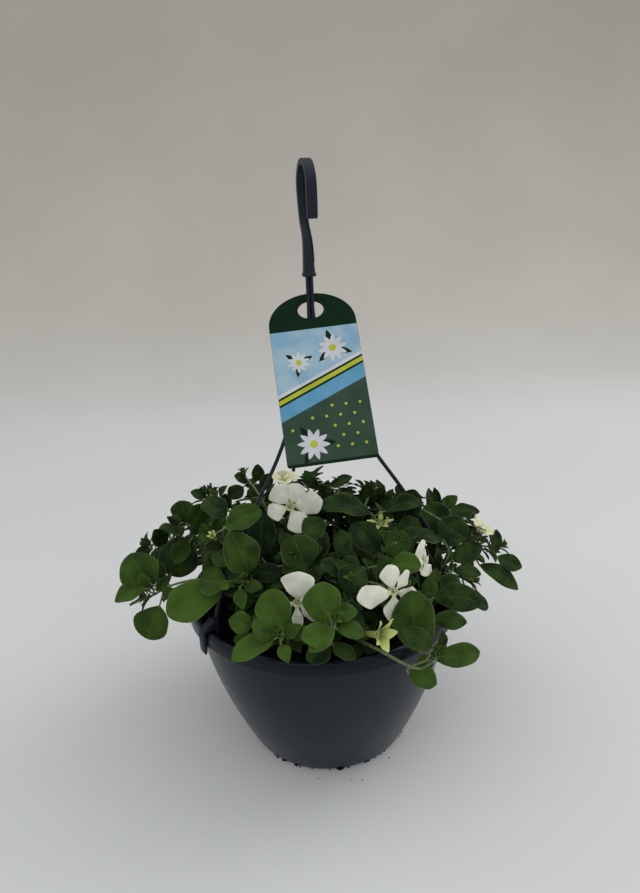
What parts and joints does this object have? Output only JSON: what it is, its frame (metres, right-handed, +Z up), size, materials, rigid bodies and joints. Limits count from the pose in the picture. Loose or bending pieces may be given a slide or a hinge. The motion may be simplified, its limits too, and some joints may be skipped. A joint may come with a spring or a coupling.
{
  "type": "petunia hanging basket",
  "caption": "Bowl-shaped plastic hanging pot on a three-rod hanger with a hook, planted with white petunias and carrying a hang tag.",
  "frame": {"origin": "centre of the pot's base, on the surface that it stands on", "axes": "+Z up along the pot's axis to the hook, -Y towards the side that the hang tag faces, +X to the right seen from there"},
  "size_m": [0.3911, 0.3628, 0.5563],
  "materials": {
    "pot_plastic": "matt anthracite moulded plastic, slightly dusty with soil",
    "insert_plastic": "matt black moulded plastic",
    "hanger_plastic": "satin dark blue-grey moulded plastic",
    "soil": "dark moist peat compost in loose crumbs",
    "tag_card": "coated card printed in greens and pale blue with a satin varnish",
    "leaf": "soft green leaf with fine hairs and sunken veins, satin",
    "petal": "thin white petal, creased, yellow-green in the throat",
    "bud": "lime yellow bud with lengthwise folds, matt"
  },
  "bodies": {
    "root": {"bud_front": "bud", "bud_left": "bud", "bud_left_back": "bud", "bud_middle": "bud", "bud_trailing": "bud", "flower_behind_right": "petal", "flower_behind_top": "petal", "flower_front": "petal", "flower_right": "petal", "flower_side": "petal", "flower_top": "petal", "hang_tag": "tag_card", "hanger_hook": "hanger_plastic", "pot": "pot_plastic", "reservoir_insert": "insert_plastic", "rod_back": "hanger_plastic", "rod_left": "hanger_plastic", "rod_right": "hanger_plastic", "shoot_back": "leaf", "shoot_back_left": "leaf", "shoot_back_left_low": "leaf", "shoot_back_low": "leaf", "shoot_back_right": "leaf", "shoot_back_right_low": "leaf", "shoot_far_left_low": "leaf", "shoot_far_right_low": "leaf", "shoot_front": "leaf", "shoot_front_high": "leaf", "shoot_front_left": "leaf", "shoot_front_right": "leaf", "shoot_front_rim": "leaf", "shoot_left_back": "leaf", "shoot_left_front": "leaf", "shoot_left_high": "leaf", "shoot_left_low": "leaf", "shoot_left_outer": "leaf", "shoot_middle": "leaf", "shoot_middle_right": "leaf", "shoot_right_back": "leaf", "shoot_right_front": "leaf", "shoot_right_high": "leaf", "shoot_right_low": "leaf", "shoot_right_outer": "leaf", "shoot_right_tip": "leaf", "shoot_right_trailing": "leaf", "shoot_under_right": "leaf", "soil": "soil"}
  },
  "joints": []
}
